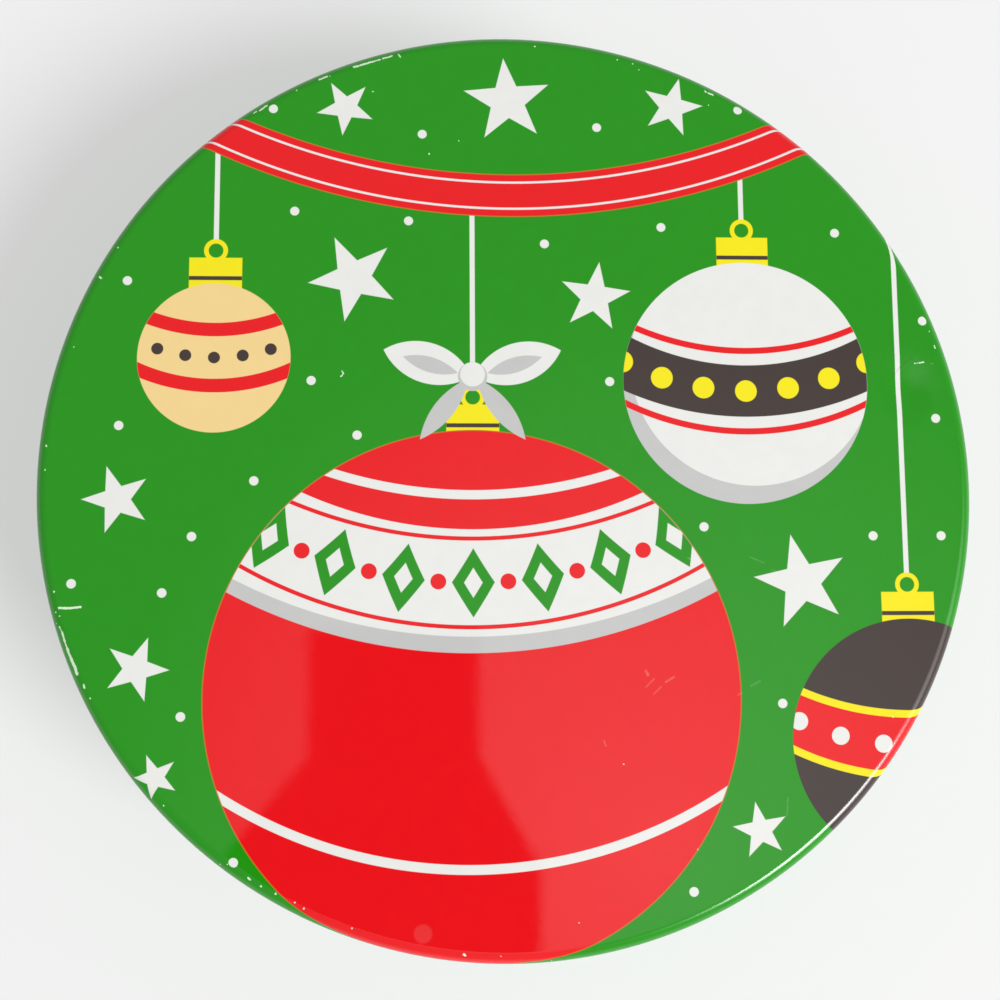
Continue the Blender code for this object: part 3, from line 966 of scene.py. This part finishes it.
def set_floor():
    shape = bmesh.new()
    bmesh.ops.create_circle(shape, cap_ends=True, segments=96, radius=FLOOR_RADIUS)
    floor = mesh_piece("floor", shape)
    paint = Paint("floor_paper")
    tone = paint.noise(FLOOR_WAVES, 3.0)
    low = (FLOOR_TONE * (1 - FLOOR_UNEVEN),) * 3
    paint.join(paint.blend(tone, low, (FLOOR_TONE,) * 3), paint.shader.inputs["Base Color"])
    paint.shader.inputs["Roughness"].default_value = FLOOR_DULL
    far = paint.ramp(paint.vector("LENGTH", paint.place), FLOOR_NEAR, FLOOR_FAR)
    glow = paint.add("ShaderNodeEmission")
    share = paint.math("MULTIPLY", paint.between(far, FLOOR_GLOW, 1.0), seen_ray(paint))
    mix = paint.add("ShaderNodeMixShader")
    output = paint.tree.nodes["Material Output"]
    for source, socket in ((share, mix.inputs[0]), (paint.shader.outputs[0], mix.inputs[1]),
                           (glow.outputs[0], mix.inputs[2]), (mix.outputs[0], output.inputs["Surface"])):
        paint.join(source, socket)
    floor.data.materials.append(paint.material)


def lamp_side(turn, lean):
    """Direction of a light from the tin, by its turn round the tin and its lean from overhead."""
    across = math.sin(lean)
    return Vector((across * math.cos(turn), across * math.sin(turn), math.cos(lean)))


def set_lamp():
    data = bpy.data.lights.new("soft_lamp", "AREA")
    data.shape = "DISK"
    data.size = LIGHT_SIZE
    data.energy = LIGHT_POWER
    lamp = bpy.data.objects.new("soft_lamp", data)
    aim = lamp_side(LIGHT_TURN, LIGHT_LEAN)
    lamp.location = Vector((0, 0, LID_TOP)) + aim * LIGHT_AWAY
    lamp.rotation_euler = aim.to_track_quat("Z", "Y").to_euler()
    bpy.context.scene.collection.objects.link(lamp)


def set_room():
    """A pale room all round, with a soft-edged darker gap overhead beside the camera."""
    world = bpy.data.worlds.new("pale_room")
    world.use_nodes = True
    world.node_tree.nodes.clear()
    room = Nodes(world.node_tree)
    way = room.add("ShaderNodeTexCoord").outputs["Generated"]
    parts = room.add("ShaderNodeSeparateXYZ")
    room.join(way, parts.inputs[0])
    x, y, z = parts.outputs
    wider = room.ramp(y, -GAP_STEP[0], -GAP_STEP[1])
    aside = room.math("MULTIPLY_ADD", wider, GAP_SHIFT, room.math("SUBTRACT", x, GAP_MIDDLE))
    half = room.math("MULTIPLY_ADD", wider, GAP_WIDER, GAP_HALF)
    aside = room.math("SUBTRACT", room.math("ABSOLUTE", aside), half)
    along = room.math("ABSOLUTE", room.math("SUBTRACT", y, (GAP_TOP + GAP_FOOT) / 2))
    along = room.math("SUBTRACT", along, (GAP_TOP - GAP_FOOT) / 2)
    gap = room.ramp(room.math("SMOOTH_MAX", aside, along, GAP_ROUNDING), GAP_EDGE, -GAP_EDGE)
    gap = room.math("MULTIPLY", gap, room.math("GREATER_THAN", z, 0.0))
    patch = room.ramp(room.vector("DISTANCE", way, PATCH_MIDDLE), PATCH_REACH, 0.0)
    overhead = room.math("MULTIPLY_ADD", patch, PATCH_SHEEN, OVERHEAD)
    high = room.ramp(z, *OVERHEAD_HEIGHT)
    sheen = room.math("MULTIPLY_ADD", high, room.math("SUBTRACT", overhead, 1.0), 1.0)
    sheen = room.math("MULTIPLY", sheen, room.math("SUBTRACT", 1.0, gap))
    towards_panel = room.vector("DOT_PRODUCT", way, tuple(lamp_side(PANEL_TURN, PANEL_LEAN)))
    panel = room.ramp(towards_panel, *(math.cos(angle) for angle in PANEL_EDGE))
    sheen = room.math("MULTIPLY_ADD", panel, PANEL_SHEEN, sheen)
    paths = room.add("ShaderNodeLightPath")
    glossy = room.math("MULTIPLY", room.math("SUBTRACT", sheen, 1.0), paths.outputs["Is Glossy Ray"])
    strength = room.between(seen_ray(room), DOME_FILL, 1.0)
    strength = room.math("MULTIPLY", strength, room.math("ADD", glossy, 1.0))
    background = room.add("ShaderNodeBackground")
    background.inputs["Color"].default_value = (1, 1, 1, 1)
    room.join(strength, background.inputs["Strength"])
    output = room.add("ShaderNodeOutputWorld")
    room.join(background.outputs[0], output.inputs["Surface"])
    bpy.context.scene.world = world
    bpy.context.scene.view_settings.view_transform = "Standard"


def dress(piece, body, node):
    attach(piece, body)
    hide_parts(node)


def main():
    set_camera()
    set_floor()
    set_lamp()
    set_room()
    bare = bare_tinplate("bare_tinplate", ROLLED_ACROSS)
    bare_inside = bare_tinplate("bare_wall_inside", ROLLED_UP)
    lid = spun_sheet("printed_lid", lid_line(), bare, bare)
    press_dent(lid)
    lay_print(lid, bare)
    wall = spun_sheet("green_wall", wall_line(), wall_enamel(), bare_inside)
    base = spun_sheet("pressed_base", base_line(), bare, bare)
    fold_side_seam(wall, bare_inside)
    dress(lid, "lid", "lid")
    dress(wall, "tin", "body_wall")
    dress(base, "tin", "base_disc")


main()
